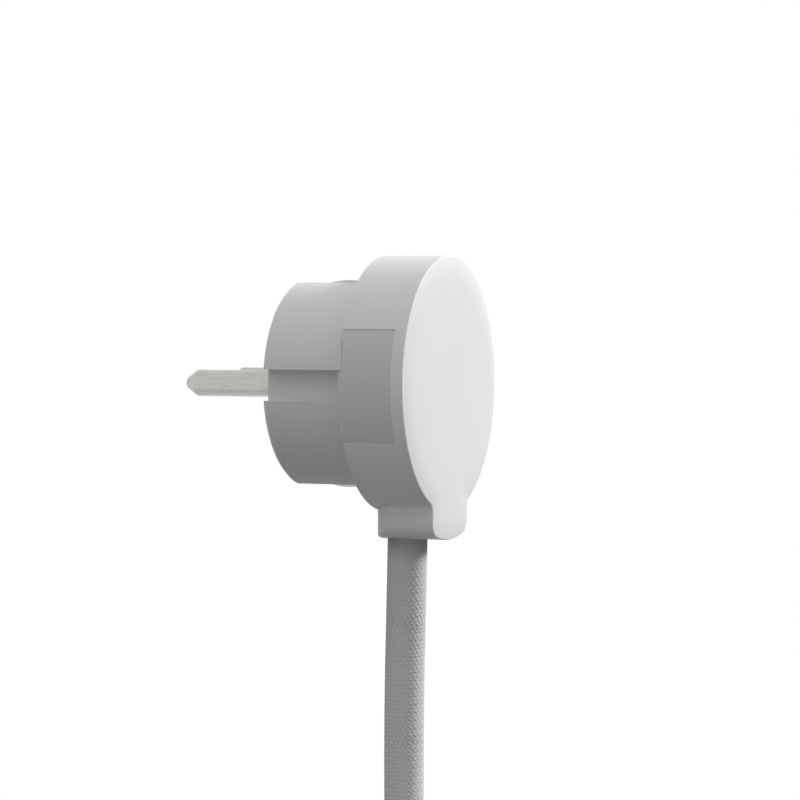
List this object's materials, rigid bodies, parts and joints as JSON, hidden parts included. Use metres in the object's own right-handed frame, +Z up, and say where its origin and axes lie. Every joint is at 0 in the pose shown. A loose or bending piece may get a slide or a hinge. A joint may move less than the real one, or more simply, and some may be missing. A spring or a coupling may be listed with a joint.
{
  "type": "flat mains plug with cord",
  "caption": "Flat low profile mains plug, near-white, round cover with a short tongue, light grey textile cord leaving downward",
  "frame": {"origin": "middle of the engagement face, halfway between the two pins", "axes": "+X to the right seen from the front, +Y along the pins into the socket, +Z up, away from the cord"},
  "size_m": [0.0492, 0.0747, 0.2911],
  "materials": {
    "cover_plastic": "fine matt moulded plastic, near white",
    "base_plastic": "plain moulded plastic, near white",
    "nickel": "nickel plate, satin",
    "screw_steel": "zinc plated steel",
    "copper": "bare copper strand",
    "tinned": "tinned, dull",
    "sheath": "soft plastic sheath",
    "core_brown": "soft plastic insulation, brown",
    "core_blue": "soft plastic insulation, blue",
    "core_green": "soft plastic insulation, green with a yellow stripe",
    "braid": "light grey textile braid",
    "tie_rubber": "matt rubber band",
    "shrink_sleeve": "heat shrink sleeve"
  },
  "bodies": {
    "root": {"front_cover": "cover_plastic", "contact_base": "base_plastic", "line_pin": "nickel", "neutral_pin": "nickel", "earth_strip": "nickel", "earth_sleeve": "nickel", "line_core": "core_brown", "neutral_core": "core_blue", "earth_core": "core_green", "line_wire": "copper", "neutral_wire": "copper", "earth_wire": "copper", "cord_jacket": "sheath", "cord_clamp": "base_plastic", "clamp_screws": "screw_steel", "supply_cord": "braid", "cord_hank": "braid", "cord_tail": "braid", "hank_tie": "tie_rubber", "tail_sleeve": "shrink_sleeve", "line_tail": "core_brown", "neutral_tail": "core_blue", "earth_tail": "core_green", "line_ferrule": "tinned", "neutral_ferrule": "tinned", "earth_ferrule": "tinned"}
  },
  "joints": []
}
